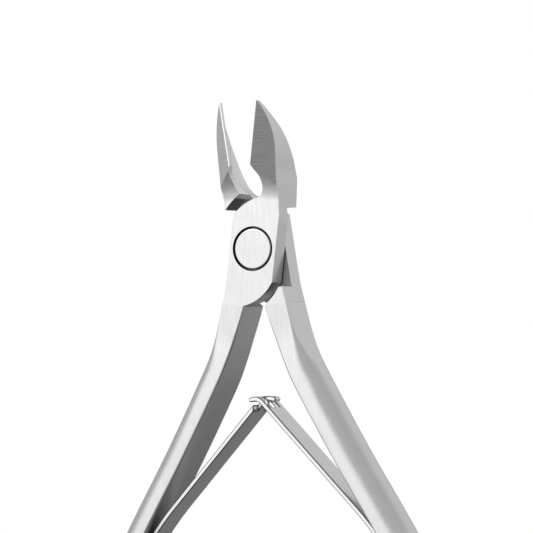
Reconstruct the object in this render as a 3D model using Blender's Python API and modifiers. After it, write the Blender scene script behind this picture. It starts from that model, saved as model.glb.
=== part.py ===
"""Cuticle nipper: a lap-jointed pair of stainless steel levers with two interlocking leaf springs.

Frame: +Z runs from the handles to the jaw tips, +X to the right of the front face, -Y out of the
front face. The origin is on the pivot axis, on the flat back of the joint. The nipper stands open,
each half turned OPEN_ANGLE away from the closed state, in which the cutting edges meet at X = 0.

Each half is drawn closed, as the front half is: jaw on the +X side, handle on the -X side, with
y = 0 on the face where the two laps meet. The rear half is its mirror image in X, with the laps
swapped. All lengths are in millimetres until a mesh is made.
"""

from math import atan2, cos, hypot, pi, radians, sin, sqrt

import bmesh
import bpy
from mathutils import Matrix, Vector

MM = 0.001
OPEN_ANGLE = radians(8)

# Joint
JOINT_HALF_WIDTH = 3.3
LAP = 2.7
LAP_GAP = 0.2
STOP_GAP_TOP = 0.85
STOP_GAP_BOTTOM = 0.4
POCKET_X = 4.1
JAW_STEP_Z = 5.58
HANDLE_STEP_Z = -5.45
FIT = 0.08

# Jaw
TIP_Z = 18.8
HEEL_Z = 10.64
EDGE_X = 0.03
OUTER_LEAN = 0.025
EDGE_Y = -5.6
FRONT_BEVEL_SLOPE = 0.78
FILLET_START_Z = 6.5
FILLET_RADIUS = 2.5
WHEEL_RADIUS = 14.0
WHEEL_X = -11.5
WHEEL_Y = 3.0
WHEEL_CORNER_RADIUS = 4.5
WHEEL_CORNER_Z = 10.6
WHEEL_BOTTOM_Z = 6.9

# Handle
HANDLE_END_LENGTH = 2.2
SECTIONS_PER_STATION = 3

# Pivot screw
HEAD_RADIUS = 2.6
HEAD_DEPTH = 1.1
COUNTERBORE_RADIUS = 2.86
SHANK_RADIUS = 1.5
SHANK_REACH = 1.9

# Leaf springs
LEAF_THICKNESS = 0.6
LEAF_WIDTH = 4.1
LEAF_Y = 0.2
LEAF_TILT = radians(43.6)
CROSSING_Z = -19.3
LEAF_BEND = 4.5
LEAF_FLEX = 3.5
SEAT_STATION = 5.7
SEAT_LENGTH = 6.0
SEAT_GAP = 0.2
CURL_START_X = 0.3
CURL_RADIUS = 1.47
CURL_ANGLE = radians(68)
SLOT_WIDTH = 2.0
SLOT_X = (-0.95, 1.3)
TONGUE_WIDTH = 1.5
TONGUE_SHOULDER_X = 0.95

# Spring screws
SPRING_SCREW_HEAD = 1.35
SPRING_SCREW_SHANK = 0.6
SPRING_SCREW_REACH = 2.3
SPRING_SCREW_ALONG = 3.4

# Stations down a handle: height, middle of its width, half width, front face, back face, corner radius
HANDLE_STATIONS = [
    (-7.5, 2.03, 1.53, 2.73, 2.73, 0.06),
    (-11.4, 2.67, 1.41, 2.78, 2.76, 0.35),
    (-14.5, 3.54, 1.52, 3.00, 2.90, 1.5),
    (-18.0, 4.89, 1.74, 3.20, 3.05, 2.7),
    (-28.0, 8.86, 1.72, 3.30, 3.15, 2.95),
    (-38.0, 13.17, 1.70, 3.30, 3.15, 2.95),
    (-48.0, 17.05, 1.72, 3.30, 3.15, 2.95),
    (-58.0, 19.70, 1.80, 3.20, 3.10, 2.9),
    (-68.0, 20.80, 1.90, 3.10, 3.00, 2.8),
    (-78.0, 20.40, 1.95, 2.90, 2.85, 2.6),
    (-87.0, 18.90, 1.60, 2.50, 2.45, 2.2),
]


def clear_scene():
    for item in list(bpy.data.objects):
        bpy.data.objects.remove(item, do_unlink=True)


def new_collection(name):
    collection = bpy.data.collections.new(name)
    bpy.context.scene.collection.children.link(collection)
    return collection


def metal(name, colour, roughness):
    material = bpy.data.materials.new(name)
    material.use_nodes = True
    shader = material.node_tree.nodes["Principled BSDF"]
    shader.inputs["Base Color"].default_value = (*colour, 1.0)
    shader.inputs["Metallic"].default_value = 1.0
    shader.inputs["Roughness"].default_value = roughness
    return material


def arc_through(start, middle, end, steps):
    """Points along the circle through three points, both ends included."""
    centre = circle_centre(start, middle, end)
    radius = hypot(start[0] - centre[0], start[1] - centre[1])
    first, between, last = (
        atan2(point[1] - centre[1], point[0] - centre[0]) for point in (start, middle, end)
    )
    turn = (last - first) % (2 * pi)
    if (between - first) % (2 * pi) > turn:
        turn -= 2 * pi
    angles = [first + turn * i / steps for i in range(steps + 1)]
    return [(centre[0] + radius * cos(a), centre[1] + radius * sin(a)) for a in angles]


def circle_centre(a, b, c):
    span = 2 * (a[0] * (b[1] - c[1]) + b[0] * (c[1] - a[1]) + c[0] * (a[1] - b[1]))
    squares = [point[0] ** 2 + point[1] ** 2 for point in (a, b, c)]
    x = (squares[0] * (b[1] - c[1]) + squares[1] * (c[1] - a[1]) + squares[2] * (a[1] - b[1])) / span
    y = (squares[0] * (c[0] - b[0]) + squares[1] * (a[0] - c[0]) + squares[2] * (b[0] - a[0])) / span
    return x, y


def add_object(name, mesh, collection, parent=None):
    item = bpy.data.objects.new(name, mesh)
    collection.objects.link(item)
    item.parent = parent
    return item


def make_cutter(item):
    item.hide_render = True
    item.display_type = "WIRE"
    return item


def plate(name, outline, low, high, turn, collection, parent=None):
    """A flat outline given a thickness from low to high along its normal, then turned into place."""
    curve = bpy.data.curves.new(name, "CURVE")
    curve.dimensions = "2D"
    curve.fill_mode = "BOTH"
    curve.extrude = (high - low) / 2 * MM
    spline = curve.splines.new("POLY")
    spline.points.add(len(outline) - 1)
    for point, (u, v) in zip(spline.points, outline):
        point.co = (u * MM, v * MM, 0, 1)
    spline.use_cyclic_u = True
    flat = add_object(name + "_outline", curve, collection)
    flat.matrix_world = turn @ Matrix.Translation((0, 0, (low + high) / 2 * MM))
    bpy.context.view_layer.update()
    mesh = bpy.data.meshes.new_from_object(flat.evaluated_get(bpy.context.evaluated_depsgraph_get()))
    mesh.transform(flat.matrix_world)
    bpy.data.objects.remove(flat, do_unlink=True)
    weld_and_orient(mesh)
    return add_object(name, mesh, collection, parent)


# An outline's plane and its normal: front views face -Y, side views face +X, plans face +Z.
FRONT_VIEW = Matrix.Rotation(pi / 2, 4, "X")
SIDE_VIEW = Matrix(((0, 0, 1, 0), (1, 0, 0, 0), (0, 1, 0, 0), (0, 0, 0, 1)))
PLAN_VIEW = Matrix.Identity(4)


def weld_and_orient(mesh, split_quads=False):
    shape = bmesh.new()
    shape.from_mesh(mesh)
    bmesh.ops.remove_doubles(shape, verts=shape.verts, dist=1e-7)
    if split_quads:
        quads = [face for face in shape.faces if len(face.verts) == 4]
        bmesh.ops.triangulate(shape, faces=quads)
    bmesh.ops.recalc_face_normals(shape, faces=shape.faces)
    shape.to_mesh(mesh)
    shape.free()


def turned(name, profile, steps, collection, parent=None):
    """A profile of (radius, height), top to bottom, turned about Z."""
    mesh = bpy.data.meshes.new(name)
    points = [(radius * MM, 0, height * MM) for radius, height in profile]
    mesh.from_pydata(points, [(i, i + 1) for i in range(len(points) - 1)], [])
    item = add_object(name, mesh, collection, parent)
    screw = item.modifiers.new("Turn", "SCREW")
    screw.steps = steps
    screw.render_steps = steps
    screw.use_merge_vertices = True
    screw.merge_threshold = 1e-7
    screw.use_smooth_shade = True
    return item


def boolean(item, tool, operation="DIFFERENCE"):
    modifier = item.modifiers.new(tool.name, "BOOLEAN")
    modifier.operation = operation
    modifier.object = tool


def jaw_outline():
    """Front view of the jaw and the lap, from the tip down the outer side and back up the throat."""
    outer = arc_through((EDGE_X + 0.06, TIP_Z), (1.43, 16.5), (2.34, 13.3), 24)
    outer += arc_through((2.34, 13.3), (2.85, 9.3), (3.38, 5.4), 16)[1:]
    right_side = [(JOINT_HALF_WIDTH, 3.4)]
    lower_lap = arc_through((3.25, -3.95), (2.05, -5.76), (-0.52, -7.4), 20)
    handle_stub = [(-0.9, -8.4), (-3.2, -8.4), (-3.54, -7.4)]
    left_side = [(-3.3, -5.0), (-3.27, -1.0)]
    upper_lap = arc_through((-3.27, 3.9), (-2.09, 5.3), (0.25, 6.62), 16)
    throat = arc_through((0.55, 7.05), (0.84, 8.6), (0.72, 9.5), 10) + [(0.42, 10.1)]
    edge = [(EDGE_X, HEEL_Z), (EDGE_X, TIP_Z - 0.05)]
    return outer + right_side + lower_lap + handle_stub + left_side + upper_lap + throat + edge


def jaw_and_lap(name, side, collection, parent):
    """The outline given its depth, with the jaw's outer side leaning in towards the back."""
    front, back = -6.5, LAP
    outline = jaw_outline()
    leaning = [(x - outer_lean(x, z) * (back - front), z) for x, z in outline]
    rings = [[(side * x, y, z) for x, z in ring] for y, ring in ((front, outline), (back, leaning))]
    return loft(name, rings, collection, parent)


def outer_lean(x, z):
    """Slope of the jaw's outer side: upright near the tip, leaning in more and more lower down."""
    share = min(max((12.0 - z) / 2.0, 0), 1) + min(max((9.0 - z) / 3.5, 0), 1)
    return OUTER_LEAN * share if x > 2 and z > 5 else 0


def pocket_outline():
    """Front view of the space for the other half's lap, between the shoulders of jaw and handle."""
    jaw_centre = circle_centre((3.27, 3.9), (2.09, 5.3), (-0.25, 6.62))
    jaw_radius = hypot(3.27 - jaw_centre[0], 3.9 - jaw_centre[1]) + STOP_GAP_TOP
    handle_centre = circle_centre((-3.25, -3.95), (-2.05, -5.76), (0.52, -7.4))
    handle_radius = hypot(-3.25 - handle_centre[0], -3.95 - handle_centre[1]) + STOP_GAP_BOTTOM
    step_x = jaw_centre[0] + sqrt(jaw_radius**2 - (JAW_STEP_Z - jaw_centre[1]) ** 2)
    jaw_shoulder = [(POCKET_X, JAW_STEP_Z)] + circle_points(jaw_centre, jaw_radius, step_x, -0.6, 1)
    step_x = handle_centre[0] - sqrt(handle_radius**2 - (HANDLE_STEP_Z - handle_centre[1]) ** 2)
    handle_shoulder = [(-POCKET_X, HANDLE_STEP_Z)]
    handle_shoulder += circle_points(handle_centre, handle_radius, step_x, 0.6, -1)
    top, bottom = jaw_shoulder[-1][1], handle_shoulder[-1][1]
    return jaw_shoulder + [(-POCKET_X, top)] + handle_shoulder + [(POCKET_X, bottom)]


def circle_points(centre, radius, x_start, x_end, upper, steps=20):
    """Points of a circle's upper (1) or lower (-1) half, evenly spaced in x."""
    points = []
    for i in range(steps + 1):
        x = x_start + (x_end - x_start) * i / steps
        points.append((x, centre[1] + upper * sqrt(radius**2 - (x - centre[0]) ** 2)))
    return points


def front_profile():
    """Side view of what is ground off the front: flat on the joint, then a fillet up to the heel."""
    reach = -EDGE_Y - LAP
    steps = 12
    top = sqrt(2 * FILLET_RADIUS * (reach + 0.2))
    fillet = []
    for i in range(steps + 1):
        rise = top * i / steps
        fillet.append((-LAP - rise**2 / (2 * FILLET_RADIUS), FILLET_START_Z + rise))
    return [(-9, -9), (-LAP, -9)] + fillet + [(-9, FILLET_START_Z + top)]


def back_profile():
    """Side view of what is taken off the back of the jaw, which slopes forward up to the tip."""
    slope = arc_through((2.7, 9.6), (0.35, 13.36), (-3.45, 17.75), 16)
    return slope + [(-5.0, 19.3), (-5.0, 22), (9, 22), (9, 9.6)]


def front_bevel(side):
    """Plan of the wedge ground off the front of the jaw, which leaves the cutting edge foremost."""
    slope = [(x, EDGE_Y + x * FRONT_BEVEL_SLOPE) for x in (-1.0, 5.0)]
    return mirrored(slope + [(5.0, -9), (-1.0, -9)], side)


def wheel_profile():
    """Radius and height of the wheel that hollows the inside of the jaw, with its round lower corner."""
    steps = 8
    corner = []
    for i in range(steps + 1):
        drop = (WHEEL_CORNER_Z - WHEEL_BOTTOM_Z) * i / steps
        wear = WHEEL_CORNER_RADIUS - sqrt(WHEEL_CORNER_RADIUS**2 - drop**2)
        corner.append((WHEEL_RADIUS - wear, WHEEL_CORNER_Z - drop))
    return [(0, 21), (WHEEL_RADIUS, 21)] + corner + [(0, WHEEL_BOTTOM_Z)]


def mirrored(points, side):
    return [(side * x, z) for x, z in points]


def smooth_station(t):
    """A handle's station at t, counted in stations from the top, on a smooth curve through them all."""
    last = len(HANDLE_STATIONS) - 1
    i = min(int(t), last - 1)
    f = t - i
    before, start, end, after = (HANDLE_STATIONS[min(max(i + k, 0), last)] for k in (-1, 0, 1, 2))
    return [
        0.5 * (2 * b + (c - a) * f + (2 * a - 5 * b + 4 * c - d) * f**2 + (3 * b - a - 3 * c + d) * f**3)
        for a, b, c, d in zip(before, start, end, after)
    ]


def handle_frame(t):
    """Centre (x, z) of the section at t of a handle on the +X side, and its downward direction."""
    z, x = smooth_station(t)[:2]
    z_above, x_above = smooth_station(max(t - 0.01, 0))[:2]
    z_below, x_below = smooth_station(min(t + 0.01, len(HANDLE_STATIONS) - 1))[:2]
    length = hypot(x_below - x_above, z_below - z_above)
    return x, z, (x_below - x_above) / length, (z_below - z_above) / length


def handle_section(half_width, front, back, radius, corner_steps=6):
    """Section as (across, y), across > 0 on the outer side: nearly square inside, round outside."""
    inner = min(0.3, radius)
    corners = [
        (half_width - radius, -front + radius, radius, -pi / 2),
        (half_width - radius, back - radius, radius, 0),
        (-half_width + inner, back - inner, inner, pi / 2),
        (-half_width + inner, -front + inner, inner, pi),
    ]
    points = []
    for u, y, r, first in corners:
        for i in range(corner_steps + 1):
            angle = first + pi / 2 * i / corner_steps
            points.append((u + r * cos(angle), y + r * sin(angle)))
    return points


def loft(name, rings, collection, parent=None):
    """A closed body through rings of the same number of points, with flat ends."""
    mesh = bpy.data.meshes.new(name)
    count = len(rings[0])
    verts = [Vector(point) * MM for ring in rings for point in ring]
    faces = [list(range(count)), list(range(len(verts) - count, len(verts)))]
    for k in range(len(rings) - 1):
        for i in range(count):
            j = (i + 1) % count
            faces.append([k * count + i, k * count + j, (k + 1) * count + j, (k + 1) * count + i])
    mesh.from_pydata(verts, [], faces)
    weld_and_orient(mesh, split_quads=True)
    return add_object(name, mesh, collection, parent)


def handle_rings(side):
    """Sections down the handle, square to it, then smaller ones that round off its end."""
    last = len(HANDLE_STATIONS) - 1
    rings = [
        handle_ring(side, k / SECTIONS_PER_STATION, 1.0, 0.0)
        for k in range(last * SECTIONS_PER_STATION + 1)
    ]
    for angle in (radians(25), radians(50), radians(75)):
        rings.append(handle_ring(side, last, cos(angle), HANDLE_END_LENGTH * sin(angle)))
    return rings


def handle_ring(side, t, scale, beyond):
    x, z, dx, dz = handle_frame(t)
    _, _, half_width, front, back, radius = smooth_station(t)
    if t == 0:
        dx, dz = 0, -1
    ring = []
    for u, y in handle_section(half_width, front, back, radius):
        u *= scale
        ring.append((-side * (x - u * dz + dx * beyond), y * scale, z + u * dx + dz * beyond))
    return ring


def build_half(name, side, collection, cutters, parent, steel):
    """One lever: jaw, lap and handle in one piece. side is 1 for the front half, -1 for the rear."""
    half = jaw_and_lap(name, side, collection, parent)
    pocket_depth = (-9, LAP_GAP / 2) if side > 0 else (-LAP_GAP / 2, 9)
    pocket = plate(
        name + "_pocket", mirrored(pocket_outline(), side), *pocket_depth, FRONT_VIEW, cutters, parent
    )
    boolean(half, make_cutter(pocket))
    profile = plate(name + "_front_profile", front_profile(), -9, 9, SIDE_VIEW, cutters, parent)
    boolean(half, make_cutter(profile))
    bevel = plate(name + "_front_bevel", front_bevel(side), 5, 21, PLAN_VIEW, cutters, parent)
    boolean(half, make_cutter(bevel))
    slope = plate(name + "_back_slope", back_profile(), -9, 9, SIDE_VIEW, cutters, parent)
    boolean(half, make_cutter(slope))
    wheel = turned(name + "_grinding_wheel", wheel_profile(), 180, cutters, parent)
    wheel.location = (side * WHEEL_X * MM, WHEEL_Y * MM, 0)
    boolean(half, make_cutter(wheel))
    handle = loft(name + "_handle", handle_rings(side), cutters, parent)
    boolean(half, make_cutter(handle), "UNION")
    half.data.materials.append(steel)
    return half


def rod(name, radius, start, end, collection, parent=None, sides=72):
    """A cylinder between two points."""
    shape = bmesh.new()
    axis = Vector(end) - Vector(start)
    place = Matrix.Translation((Vector(start) + Vector(end)) / 2 * MM)
    place @= axis.to_track_quat("Z", "Y").to_matrix().to_4x4()
    bmesh.ops.create_cone(
        shape,
        cap_ends=True,
        segments=sides,
        radius1=radius * MM,
        radius2=radius * MM,
        depth=axis.length * MM,
        matrix=place,
    )
    mesh = bpy.data.meshes.new(name)
    shape.to_mesh(mesh)
    shape.free()
    return add_object(name, mesh, collection, parent)


def box(name, low, high, collection, parent=None):
    shape = bmesh.new()
    size = (Vector(high) - Vector(low)) * MM
    place = Matrix.Translation((Vector(low) + Vector(high)) / 2 * MM) @ Matrix.Diagonal((*size, 1))
    bmesh.ops.create_cube(shape, size=1, matrix=place)
    mesh = bpy.data.meshes.new(name)
    shape.to_mesh(mesh)
    shape.free()
    return add_object(name, mesh, collection, parent)


def drill_joint(front_half, rear_half, cutters, hinge):
    """The pivot's hole and counterbore in the front lap, and its blind hole in the rear lap."""
    hole_radius = SHANK_RADIUS + FIT
    hole_end = (0, SHANK_REACH + FIT, 0)
    floor = (0, -LAP + HEAD_DEPTH + FIT, 0)
    through = rod("pivot_hole", hole_radius, (0, -4, 0), hole_end, cutters, hinge)
    counterbore = rod("counterbore", COUNTERBORE_RADIUS, (0, -4, 0), floor, cutters, hinge)
    boolean(front_half, make_cutter(through))
    boolean(front_half, make_cutter(counterbore))
    boolean(rear_half, through)


def pivot_screw(collection, parent, steel):
    """Flush flat head in the counterbore, shank through the front lap into the rear one."""
    chamfer = 0.12
    profile = [
        (0, LAP),
        (HEAD_RADIUS - chamfer, LAP),
        (HEAD_RADIUS, LAP - chamfer),
        (HEAD_RADIUS, LAP - HEAD_DEPTH),
        (SHANK_RADIUS, LAP - HEAD_DEPTH),
        (SHANK_RADIUS, -SHANK_REACH),
        (0, -SHANK_REACH),
    ]
    screw = turned("pivot_screw", profile, 72, collection, parent)
    screw.rotation_euler = (pi / 2, 0, 0)
    screw.data.materials.append(steel)
    return screw


def seat():
    """Where a leaf is fastened to a handle on the +X side: a point on its inner face, and down it."""
    x, z, dx, dz = handle_frame(SEAT_STATION)
    half_width = smooth_station(SEAT_STATION)[2]
    return Vector((x + half_width * dz, z - half_width * dx)), Vector((dx, dz))


def opened(point, angle=OPEN_ANGLE):
    """A front-view point or direction of the +X handle, swung from the closed to the open state."""
    x, z = point
    return Vector((x * cos(angle) - z * sin(angle), x * sin(angle) + z * cos(angle)))


def leaf_corner():
    """Where the leaf's straight middle line would meet its seated one, and the two directions from it."""
    seat_point, seat_down = seat()
    inward = Vector((seat_down.y, -seat_down.x))
    on_seat = opened(seat_point + inward * (SEAT_GAP + LEAF_THICKNESS / 2))
    down_seat = opened(seat_down)
    up_leaf = Vector((-sin(LEAF_TILT), cos(LEAF_TILT)))
    crossing = Vector((0, CROSSING_Z))
    span = on_seat - crossing
    along = (span.x * down_seat.y - span.y * down_seat.x) / (
        -up_leaf.x * down_seat.y + up_leaf.y * down_seat.x
    )
    return crossing - up_leaf * along, up_leaf, down_seat


def leaf_centre_line():
    """Middle line of the right leaf, open: along its seat, up the straight blade and round the curl."""
    corner, up_leaf, down_seat = leaf_corner()
    bend_start = corner + down_seat * LEAF_BEND
    bend_end = corner + up_leaf * LEAF_BEND
    points = [bend_start + down_seat * SEAT_LENGTH]
    steps = 8
    for i in range(steps + 1):
        f = i / steps
        points.append(bend_start * (1 - f) ** 2 + corner * 2 * f * (1 - f) + bend_end * f**2)
    curl_start = corner + up_leaf * ((CURL_START_X - corner.x) / up_leaf.x)
    centre = curl_start - Vector((up_leaf.y, -up_leaf.x)) * CURL_RADIUS
    for i in range(steps + 1):
        angle = atan2(curl_start.y - centre.y, curl_start.x - centre.x) + CURL_ANGLE * i / steps
        points.append(centre + CURL_RADIUS * Vector((cos(angle), sin(angle))))
    return points


def strip(line, thickness):
    """Outline of an even strip round its middle line, square at its start and round at its end."""
    right, left = [], []
    for i, point in enumerate(line):
        along = (line[min(i + 1, len(line) - 1)] - line[max(i - 1, 0)]).normalized()
        across = Vector((-along.y, along.x)) * thickness / 2
        right.append(tuple(point - across))
        left.append(tuple(point + across))
    tip = []
    for turn in (-60, -30, 0, 30, 60):
        tip.append(tuple(line[-1] + Matrix.Rotation(radians(turn), 2) @ along * thickness / 2))
    return right + tip + left[::-1]


def leaf_hinge():
    """Point on the right leaf about which it swings as it flexes."""
    corner, up_leaf, _ = leaf_corner()
    return corner + up_leaf * LEAF_FLEX


def hinge_empty(name, x, y, z, turn=0.0):
    empty = bpy.data.objects.new(name, None)
    bpy.context.scene.collection.objects.link(empty)
    empty.location = (x * MM, y * MM, z * MM)
    empty.rotation_euler = (0, turn, 0)
    return empty


def leaf_spring(name, side, collection, steel):
    """One leaf, for the handle on the +X side (side 1) or the -X side, origin where it flexes."""
    pivot = leaf_hinge()
    hinge = hinge_empty(name + "_hinge", side * pivot.x, -LAP, pivot.y)
    outline = [(side * (x - pivot.x), z - pivot.y) for x, z in strip(leaf_centre_line(), LEAF_THICKNESS)]
    front, back = LEAF_Y - LEAF_WIDTH / 2, LEAF_Y + LEAF_WIDTH / 2
    leaf = plate(name, outline, -back, -front, FRONT_VIEW, collection, hinge)
    leaf.data.materials.append(steel)
    return leaf


def cut_slot(leaf, cutters):
    """The window near the tip of the right leaf, which the tongue of the left leaf passes through."""
    y = LEAF_Y - LAP
    low = (SLOT_X[0], y - SLOT_WIDTH / 2, CROSSING_Z - 4)
    high = (SLOT_X[1], y + SLOT_WIDTH / 2, CROSSING_Z + 4)
    boolean(leaf, make_cutter(box("leaf_slot", low, high, cutters)))


def cut_tongue(leaf, cutters):
    """The left leaf is narrowed on both sides to a tongue where it passes through the right one."""
    y = LEAF_Y - LAP
    for side in (-1, 1):
        edges = sorted((y + side * TONGUE_WIDTH / 2, y + side * LEAF_WIDTH))
        low = (-TONGUE_SHOULDER_X, edges[0], CROSSING_Z - 4)
        high = (4, edges[1], CROSSING_Z + 4)
        boolean(leaf, make_cutter(box(f"tongue_side_{side + 1}", low, high, cutters)))


def spring_screw(name, side, half, leaf, collection, cutters, parent, steel):
    """Pan-head screw through the leaf's root into the handle's inner face."""
    seat_point, seat_down = seat()
    inward = Vector((seat_down.y, -seat_down.x))
    bend_to_seat = opened(leaf_corner()[0], -OPEN_ANGLE) + seat_down * (LEAF_BEND + SPRING_SCREW_ALONG)
    centre = seat_point + seat_down * (bend_to_seat - seat_point).dot(seat_down)
    leaf_top = SEAT_GAP + LEAF_THICKNESS
    base = Vector((side * centre.x, LEAF_Y, centre.y))
    out = Vector((side * inward.x, 0, inward.y))
    hole_end = base - out * (SPRING_SCREW_REACH + FIT)
    hole = rod(name + "_hole", SPRING_SCREW_SHANK + FIT, hole_end, base + out * 3, cutters, parent, 24)
    boolean(half, make_cutter(hole))
    boolean(leaf, hole)
    head_bottom = leaf_top + FIT
    profile = [
        (0, head_bottom + 0.7),
        (SPRING_SCREW_HEAD * 0.6, head_bottom + 0.62),
        (SPRING_SCREW_HEAD, head_bottom + 0.25),
        (SPRING_SCREW_HEAD, head_bottom),
        (SPRING_SCREW_SHANK, head_bottom),
        (SPRING_SCREW_SHANK, -SPRING_SCREW_REACH),
        (0, -SPRING_SCREW_REACH),
    ]
    screw = turned(name, profile, 24, collection, parent)
    screw.location = base * MM
    screw.rotation_euler = out.to_track_quat("Z", "Y").to_euler()
    screw.data.materials.append(steel)
    return screw


def main():
    clear_scene()
    parts = new_collection("cuticle_nipper")
    cutters = new_collection("cutters")
    satin = metal("satin_steel", (0.70, 0.70, 0.71), 0.32)
    polished = metal("polished_steel", (0.78, 0.78, 0.79), 0.18)
    front_hinge = hinge_empty("front_half_hinge", 0, -LAP, 0, OPEN_ANGLE)
    rear_hinge = hinge_empty("rear_half_hinge", 0, -LAP, 0, -OPEN_ANGLE)
    front_half = build_half("front_half", 1, parts, cutters, front_hinge, satin)
    rear_half = build_half("rear_half", -1, parts, cutters, rear_hinge, satin)
    drill_joint(front_half, rear_half, cutters, rear_hinge)
    pivot_screw(parts, rear_hinge, polished)
    right_leaf = leaf_spring("right_leaf_spring", 1, parts, polished)
    left_leaf = leaf_spring("left_leaf_spring", -1, parts, polished)
    cut_slot(right_leaf, cutters)
    cut_tongue(left_leaf, cutters)
    spring_screw("right_spring_screw", 1, rear_half, right_leaf, parts, cutters, rear_hinge, polished)
    spring_screw("left_spring_screw", -1, front_half, left_leaf, parts, cutters, front_hinge, polished)


main()
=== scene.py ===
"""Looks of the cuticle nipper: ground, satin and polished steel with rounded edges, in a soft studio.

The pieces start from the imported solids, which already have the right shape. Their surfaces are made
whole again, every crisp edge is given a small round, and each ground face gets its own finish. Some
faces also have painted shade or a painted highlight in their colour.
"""

from math import cos, hypot, radians, sin

import bmesh
import bpy
from mathutils import Matrix, Vector


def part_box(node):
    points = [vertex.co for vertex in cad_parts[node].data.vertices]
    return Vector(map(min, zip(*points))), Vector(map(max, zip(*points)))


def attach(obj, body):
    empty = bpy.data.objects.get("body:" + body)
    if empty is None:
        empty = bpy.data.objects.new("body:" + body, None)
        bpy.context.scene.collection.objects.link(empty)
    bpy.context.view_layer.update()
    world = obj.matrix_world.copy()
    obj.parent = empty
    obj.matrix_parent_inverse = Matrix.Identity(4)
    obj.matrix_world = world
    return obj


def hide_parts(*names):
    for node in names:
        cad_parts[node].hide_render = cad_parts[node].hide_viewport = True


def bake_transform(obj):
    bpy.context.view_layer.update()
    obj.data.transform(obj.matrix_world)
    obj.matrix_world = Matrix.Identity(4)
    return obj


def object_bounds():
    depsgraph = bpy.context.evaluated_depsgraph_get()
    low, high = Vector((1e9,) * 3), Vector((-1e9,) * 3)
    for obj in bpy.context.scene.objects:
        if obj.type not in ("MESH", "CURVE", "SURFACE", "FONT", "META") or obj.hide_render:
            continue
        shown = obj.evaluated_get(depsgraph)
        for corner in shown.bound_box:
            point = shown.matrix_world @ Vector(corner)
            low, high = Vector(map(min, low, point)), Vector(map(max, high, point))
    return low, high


MM = 0.001

# Camera
LENS = 184.3
SENSOR_WIDTH = 36
CAMERA_PLACE = (0.164148, -0.311544, -0.013258)
CAMERA_RIGHT = Vector((0.882961, 0.468711, -0.026426))
CAMERA_UP = Vector((0.038087, -0.015416, 0.999155))

# Floor
FLOOR_HALF_WIDTH = 0.6
FLOOR_GAP = 0.5 * MM

# Halves, closed: Z is the height above the pivot, and the laps meet one lap's depth in front of the back
OPEN_ANGLE = radians(8)
LAP = 2.7 * MM
LAP_TOLERANCE = 0.3 * MM
BEVEL_NORMAL = Vector((0.615, -0.789, 0))
EDGE_BOTTOM = 10.2 * MM
EDGE_LAND_DEPTH = 0.11 * MM
HOLLOW_BOTTOM = 6.8 * MM
FILLET_BOTTOM = 6.4 * MM
JAW_SHOULDER = (5.0 * MM, 8.0 * MM)
HANDLE_SHOULDER = (-8.5 * MM, -4.5 * MM)
HANDLE_TOP = -7.5 * MM
COUNTERBORE_REACH = 3.0 * MM
COUNTERBORE_RIM = 0.2 * MM

# Leaf springs: where the free part of the right one starts, which way it goes, and how it is cut to bend
LEAF_SEAT_TOP = (18.4 * MM, 0, -40.4 * MM)
LEAF_UPWARDS = (-0.69, 0, 0.724)
LEAF_CUT_SPACING = 0.6 * MM
LEAF_CUT_SNAP = 0.1 * MM
UNCUT_AT_TIP = 5

# Rounded edges: width, and the angle from which an edge is crisp
EDGE_ROUND = 0.05 * MM
CREASE = radians(26)
LEAF_EDGE_ROUND = 0.12 * MM
LEAF_CREASE = radians(40)

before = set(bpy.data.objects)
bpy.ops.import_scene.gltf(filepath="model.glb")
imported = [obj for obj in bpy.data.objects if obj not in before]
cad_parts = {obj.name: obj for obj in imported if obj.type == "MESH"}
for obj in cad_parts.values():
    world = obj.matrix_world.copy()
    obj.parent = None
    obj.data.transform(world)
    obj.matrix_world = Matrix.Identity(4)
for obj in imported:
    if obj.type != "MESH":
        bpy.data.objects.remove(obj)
cad_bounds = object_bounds()


# Camera, lights and floor


def add_object(name, data):
    item = bpy.data.objects.new(name, data)
    bpy.context.scene.collection.objects.link(item)
    return item


def add_camera():
    """A long lens a little below the pivot, to the right of the front face."""
    camera = add_object("camera", bpy.data.cameras.new("camera"))
    camera.data.lens = LENS
    camera.data.sensor_width = SENSOR_WIDTH
    camera.data.clip_start = 0.01
    camera.data.clip_end = 10
    camera.location = CAMERA_PLACE
    axes = Matrix((CAMERA_RIGHT, CAMERA_UP, CAMERA_RIGHT.cross(CAMERA_UP)))
    camera.rotation_euler = axes.transposed().to_euler()
    bpy.context.scene.camera = camera


def direction(azimuth, elevation):
    """Unit vector towards a place in the studio. Azimuth 0 is in front (-Y), 90 to the right (+X)."""
    a, e = radians(azimuth), radians(elevation)
    return Vector((sin(a) * cos(e), -cos(a) * cos(e), sin(e)))


class Nodes:
    """Short ways to add shader nodes and join them."""

    def __init__(self, tree):
        self.tree = tree

    def add(self, kind, inputs=(), **settings):
        node = self.tree.nodes.new(kind)
        for name, value in settings.items():
            setattr(node, name, value)
        for key, value in dict(inputs).items():
            if isinstance(value, bpy.types.NodeSocket):
                self.tree.links.new(value, node.inputs[key])
            else:
                node.inputs[key].default_value = value
        return node

    def math(self, operation, a, b=0.0):
        return self.add("ShaderNodeMath", {0: a, 1: b}, operation=operation).outputs[0]


# Panels of light round the studio: azimuth, elevation, half width where full and where gone, brightness
PANELS = [
    (-28, 5, 30, 62, 0.55),
    (60, 5, 10, 45, 0.05),
    (152, 12, 18, 48, 0.16),
]


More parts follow.
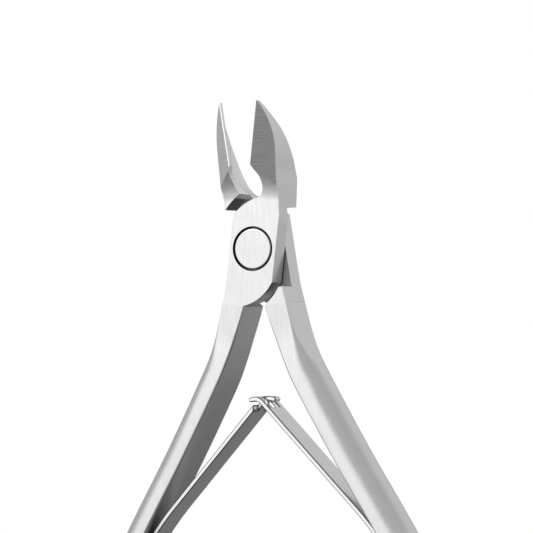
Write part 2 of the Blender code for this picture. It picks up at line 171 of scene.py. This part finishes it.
def add_world():
    """White to the camera. The steel sees a grey room with soft panels, darker below."""
    world = bpy.data.worlds.new("studio")
    world.use_nodes = True
    tree = world.node_tree
    tree.nodes.clear()
    nodes = Nodes(tree)
    ray = nodes.add("ShaderNodeTexCoord").outputs["Generated"]
    height = nodes.add("ShaderNodeSeparateXYZ", {0: ray}).outputs["Z"]
    level = nodes.add(
        "ShaderNodeMapRange",
        {"Value": height, "From Min": -0.6, "From Max": 0.3, "To Min": 0.17, "To Max": 0.44},
        interpolation_type="SMOOTHSTEP",
    ).outputs[0]
    for azimuth, elevation, inner, outer, brightness in PANELS:
        towards = direction(azimuth, elevation)
        facing = nodes.add("ShaderNodeVectorMath", {0: ray, 1: towards}, operation="DOT_PRODUCT")
        share = nodes.add(
            "ShaderNodeMapRange",
            {
                "Value": facing.outputs["Value"],
                "From Min": cos(radians(outer)),
                "From Max": cos(radians(inner)),
                "To Min": 0.0,
                "To Max": brightness,
            },
            interpolation_type="SMOOTHSTEP",
        )
        level = nodes.math("ADD", level, share.outputs[0])
    room = nodes.add("ShaderNodeBackground", {"Color": (1, 1, 1, 1), "Strength": level})
    white = nodes.add("ShaderNodeBackground", {"Color": (1, 1, 1, 1), "Strength": 1.0})
    seen = nodes.add("ShaderNodeLightPath").outputs["Is Camera Ray"]
    mixed = nodes.add("ShaderNodeMixShader", {0: seen, 1: room.outputs[0], 2: white.outputs[0]})
    nodes.add("ShaderNodeOutputWorld", {"Surface": mixed.outputs[0]})
    bpy.context.scene.world = world


def add_light(name, location, size, power):
    light = bpy.data.lights.new(name, "AREA")
    light.shape = "DISK"
    light.size = size
    light.energy = power
    item = add_object(name, light)
    item.location = location
    item.rotation_euler = (-Vector(location)).to_track_quat("-Z", "Y").to_euler()


def add_floor():
    """A wide pale floor just under the ends of the handles."""
    shape = bmesh.new()
    bmesh.ops.create_grid(shape, x_segments=1, y_segments=1, size=FLOOR_HALF_WIDTH)
    mesh = bpy.data.meshes.new("floor")
    shape.to_mesh(mesh)
    shape.free()
    floor = add_object("floor", mesh)
    floor.location.z = cad_bounds[0].z - FLOOR_GAP
    floor.visible_glossy = False
    material = bpy.data.materials.new("pale_floor")
    material.use_nodes = True
    nodes = Nodes(material.node_tree)
    shader = material.node_tree.nodes["Principled BSDF"]
    mottle = nodes.add("ShaderNodeTexNoise", {"Scale": 30.0, "Detail": 4.0})
    ramp = nodes.add("ShaderNodeValToRGB", {"Fac": mottle.outputs["Fac"]})
    ramp.color_ramp.elements[0].color = (0.86, 0.86, 0.86, 1)
    ramp.color_ramp.elements[1].color = (0.90, 0.90, 0.90, 1)
    material.node_tree.links.new(ramp.outputs["Color"], shader.inputs["Base Color"])
    shader.inputs["Roughness"].default_value = 0.8
    mesh.materials.append(material)


# Steel


def steel(name, shade, roughness, grain, depth, contrast):
    """Ground steel. grain is how fast the scratches change along X, Y and Z, in waves per metre.

    depth is how deep they are in millimetres, and contrast how much they change the shade.
    """
    material = bpy.data.materials.new(name)
    material.use_nodes = True
    tree = material.node_tree
    shader = tree.nodes["Principled BSDF"]
    nodes = Nodes(tree)
    place = nodes.add("ShaderNodeTexCoord").outputs["Object"]
    stretched = nodes.add("ShaderNodeVectorMath", {0: place, 1: grain}, operation="MULTIPLY").outputs[0]
    scratches = nodes.add("ShaderNodeTexNoise", {"Vector": stretched, "Scale": 1.0, "Detail": 5.0})
    scratches.inputs["Roughness"].default_value = 0.65
    smears = nodes.add("ShaderNodeTexNoise", {"Vector": place, "Scale": 260.0, "Detail": 3.0})
    tone = nodes.add(
        "ShaderNodeMapRange",
        {"Value": scratches.outputs["Fac"], "From Min": 0.3, "From Max": 0.7},
    )
    tone.inputs["To Min"].default_value = 1 - contrast
    tone.inputs["To Max"].default_value = 1 + contrast
    mottle = nodes.add(
        "ShaderNodeMapRange",
        {"Value": smears.outputs["Fac"], "From Min": 0.3, "From Max": 0.7, "To Min": 0.97, "To Max": 1.02},
    )
    grey = nodes.math("MULTIPLY", tone.outputs[0], mottle.outputs[0])
    grey = nodes.math("MULTIPLY", grey, shade)
    colour = nodes.add("ShaderNodeCombineColor", {0: grey, 1: grey, 2: nodes.math("MULTIPLY", grey, 1.01)})
    tree.links.new(colour.outputs[0], shader.inputs["Base Color"])
    rough = nodes.math("MULTIPLY", nodes.math("ADD", scratches.outputs["Fac"], 0.5), roughness)
    tree.links.new(rough, shader.inputs["Roughness"])
    bump = nodes.add("ShaderNodeBump", {"Height": scratches.outputs["Fac"], "Distance": depth * MM})
    bump.inputs["Strength"].default_value = 0.6
    tree.links.new(bump.outputs[0], shader.inputs["Normal"])
    shader.inputs["Metallic"].default_value = 1.0
    return material


# Scratches up and down the tool, round it, and along the leaf springs
UP_GRAIN = (5200, 5200, 260)
ACROSS_GRAIN = (300, 300, 6500)
SPRING_GRAIN = (400, 5200, 400)

# The finishes of a half, some with painted shade and some with painted highlights, in the order of its
# material slots
ZONES = ["body", "inner", "face", "bevel", "rear_bevel", "fillet", "hollow", "edge", "mating", "recess"]


def make_steels():
    return {
        "body": steel("satin_body", 0.84, 0.30, UP_GRAIN, 0.002, 0.03),
        # Handles' inner sides: the same satin steel painted darker, a painted shade for the side turned
        # from the light.
        "inner": steel("inner_side_painted_shade", 0.60, 0.32, UP_GRAIN, 0.002, 0.05),
        "face": steel("ground_face", 0.90, 0.30, UP_GRAIN, 0.005, 0.05),
        "bevel": steel("ground_bevel", 0.60, 0.34, ACROSS_GRAIN, 0.008, 0.16),
        # Rear half's bevel: the same ground bevel painted lighter, a painted highlight for how it faces
        # the lamps.
        "rear_bevel": steel("rear_bevel_painted_lighter", 0.95, 0.34, ACROSS_GRAIN, 0.008, 0.10),
        "fillet": steel("ground_fillet", 0.86, 0.62, UP_GRAIN, 0.006, 0.08),
        # The hollow ground face, painted brighter than the body, a painted highlight.
        "hollow": steel("hollow_ground_painted_highlight", 0.98, 0.30, ACROSS_GRAIN, 0.002, 0.04),
        # The honed land along the cutting edge, painted white, a painted highlight.
        "edge": steel("honed_edge_painted_highlight", 1.0, 0.45, ACROSS_GRAIN, 0.001, 0.01),
        # The lap's mating face, painted dark, a painted shade for the pocket it lies in.
        "mating": steel("mating_face_painted_shade", 0.42, 0.40, UP_GRAIN, 0.004, 0.08),
        # Shoulders and counterbore, painted very dark, a painted shade for recesses and the faces under
        # the jaws.
        "recess": steel("recess_painted_shade", 0.20, 0.42, UP_GRAIN, 0.006, 0.10),
        "spring": steel("spring_strip", 0.86, 0.16, SPRING_GRAIN, 0.002, 0.03),
        # The springs' front faces, painted brighter, a painted highlight.
        "spring_front_painted_highlight": steel("spring_front_painted_highlight", 0.99, 0.30, SPRING_GRAIN, 0.002, 0.02),
        # The springs' rounded edges, painted dark, a painted shade along each edge.
        "spring_round_painted_shade": steel("spring_round_painted_shade", 0.20, 0.30, SPRING_GRAIN, 0.002, 0.05),
    }


# Pieces


def whole_surface(node):
    """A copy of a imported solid's surface, welded, with its flat faces in one piece."""
    shape = bmesh.new()
    shape.from_mesh(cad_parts[node].data)
    bmesh.ops.remove_doubles(shape, verts=shape.verts, dist=2e-6)
    bmesh.ops.dissolve_limit(shape, angle_limit=radians(0.4), verts=shape.verts, edges=shape.edges)
    return shape


def finish_piece(name, shape, node, body, materials, edge_round=EDGE_ROUND, crease=CREASE):
    """Makes the piece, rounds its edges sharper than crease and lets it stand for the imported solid."""
    mesh = bpy.data.meshes.new(name)
    for face in shape.faces:
        face.smooth = True
    shape.to_mesh(mesh)
    shape.free()
    for material in materials:
        mesh.materials.append(material)
    mesh.set_sharp_from_angle(angle=crease)
    piece = add_object(name, mesh)
    bevel = piece.modifiers.new("rounded_edges", "BEVEL")
    bevel.width = edge_round
    bevel.segments = 2
    bevel.limit_method = "ANGLE"
    bevel.angle_limit = crease
    bevel.use_clamp_overlap = True
    normals = piece.modifiers.new("even_shading", "WEIGHTED_NORMAL")
    normals.keep_sharp = True
    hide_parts(node)
    if body:
        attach(piece, body)
    return piece


def jaw_zone(centre, normal, side):
    """Which finish, painted shade or painted highlight a face of a half gets, from its place and normal
    with the nipper closed.
    """
    z = centre.z
    n = Vector((side * normal.x, normal.y, normal.z))
    if z > HOLLOW_BOTTOM and n.dot(BEVEL_NORMAL) > 0.985:
        # The rear half's bevel gets the painted highlight
        return "bevel" if side > 0 else "rear_bevel"
    # The land gets the painted highlight
    if z > EDGE_BOTTOM and n.x < -0.999:
        return "edge"
    # The hollow gets the painted highlight
    if z > HOLLOW_BOTTOM and n.x < -0.2:
        return "hollow"
    if z > FILLET_BOTTOM and n.y < -0.2 and n.z < -0.05:
        return "fillet"
    # Mating faces get painted shade
    if side * n.y > 0.9 and abs(centre.y + LAP) < LAP_TOLERANCE:
        return "mating"
    # Shoulders and counterbore get painted shade
    if in_recess(centre, n):
        return "recess"
    if z > HANDLE_TOP and n.y < -0.9:
        return "face"
    # Inner sides of the handles get painted shade
    if z < HANDLE_TOP and n.x > 0.75:
        return "inner"
    return "body"


def in_recess(centre, normal):
    """Whether a face is on one of the two shoulders, or inside the pivot's counterbore."""
    upright = abs(normal.y) < 0.2
    under_jaw = upright and normal.z < -0.3 and JAW_SHOULDER[0] < centre.z < JAW_SHOULDER[1]
    on_handle = upright and normal.z > 0.3 and HANDLE_SHOULDER[0] < centre.z < HANDLE_SHOULDER[1]
    in_front_lap = -2 * LAP + COUNTERBORE_RIM < centre.y < -LAP
    in_counterbore = in_front_lap and hypot(centre.x, centre.z) < COUNTERBORE_REACH
    return under_jaw or on_handle or in_counterbore


def make_half(node, side, steels):
    """One lever, each face with its own finish, some with painted shade and some with a painted highlight.
    side is 1 for the front half, -1 for the rear half.
    """
    shape = whole_surface(node)
    to_closed = Matrix.Rotation(-side * OPEN_ANGLE, 3, "Y")
    for face in shape.faces:
        zone = jaw_zone(to_closed @ face.calc_center_median(), to_closed @ face.normal, side)
        face.material_index = ZONES.index(zone)
    if side < 0:
        hone_edge(shape)
    materials = [steels[zone] for zone in ZONES]
    finish_piece(node + "_steel", shape, node, node, materials)


def hone_edge(shape):
    """Takes off the very front of the cutting edge, which leaves a narrow land facing forwards."""
    front = min(vert.co.y for vert in shape.verts)
    cut = bmesh.ops.bisect_plane(
        shape,
        geom=shape.verts[:] + shape.edges[:] + shape.faces[:],
        plane_co=(0, front + EDGE_LAND_DEPTH, 0),
        plane_no=(0, -1, 0),
        clear_outer=True,
    )
    rim = [item for item in cut["geom_cut"] if isinstance(item, bmesh.types.BMEdge)]
    for face in bmesh.ops.holes_fill(shape, edges=rim)["faces"]:
        # The land left by the cut gets the painted highlight
        face.material_index = ZONES.index("edge")
    bmesh.ops.recalc_face_normals(shape, faces=shape.faces)


def make_leaf(node, side, steels):
    """A leaf spring, cut across often enough to bend, between its seat and near its tip."""
    shape = whole_surface(node)
    mirror = Vector((side, 1, 1))
    seat_top = Vector(LEAF_SEAT_TOP) * mirror
    up_leaf = Vector(LEAF_UPWARDS) * mirror
    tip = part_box(node)[1]
    cuts = int((tip.z - seat_top.z) / up_leaf.z / LEAF_CUT_SPACING)
    for i in range(1, cuts + 1 - UNCUT_AT_TIP):
        bmesh.ops.bisect_plane(
            shape,
            geom=shape.verts[:] + shape.edges[:] + shape.faces[:],
            plane_co=seat_top + up_leaf * LEAF_CUT_SPACING * i,
            plane_no=up_leaf,
            dist=LEAF_CUT_SNAP,
        )
    for face in shape.faces:
        # Front faces get the painted highlight
        face.material_index = 1 if face.normal.y < -0.9 else 0
    materials = [steels["spring"], steels["spring_front_painted_highlight"], steels["spring_round_painted_shade"]]
    piece = finish_piece(
        node + "_strip", shape, node, None, materials, LEAF_EDGE_ROUND, LEAF_CREASE
    )
    # The rounded edges get the painted shade
    rounding = piece.modifiers["rounded_edges"]
    rounding.material = materials.index(steels["spring_round_painted_shade"])
    rounding.use_clamp_overlap = False
    bake_modifiers(piece)
    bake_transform(piece)


def bake_modifiers(piece):
    bpy.context.view_layer.update()
    made = piece.evaluated_get(bpy.context.evaluated_depsgraph_get())
    piece.data = bpy.data.meshes.new_from_object(made)
    piece.modifiers.clear()


def make_pivot_screw(node, body, steels):
    """The flush head is ground with the lap. Its side and shank are painted dark, a painted shade for the
    counterbore.
    """
    shape = whole_surface(node)
    for face in shape.faces:
        face.material_index = 0 if face.normal.y < -0.5 else 1
    materials = [steels["face"], steels["recess"]]
    finish_piece(node + "_head", shape, node, body, materials)


def make_spring_screw(node, body, steels):
    finish_piece(node + "_head", whole_surface(node), node, body, [steels["spring"]])


bpy.context.scene.view_settings.view_transform = "Standard"
add_camera()
add_world()
add_light("soft_key", (-0.25, -0.45, 0.35), 0.3, 1.0)
add_floor()
steels = make_steels()
make_half("front_half", 1, steels)
make_half("rear_half", -1, steels)
make_pivot_screw("pivot_screw", "rear_half", steels)
make_spring_screw("right_spring_screw", "rear_half", steels)
make_spring_screw("left_spring_screw", "front_half", steels)
make_leaf("right_leaf_spring", 1, steels)
make_leaf("left_leaf_spring", -1, steels)
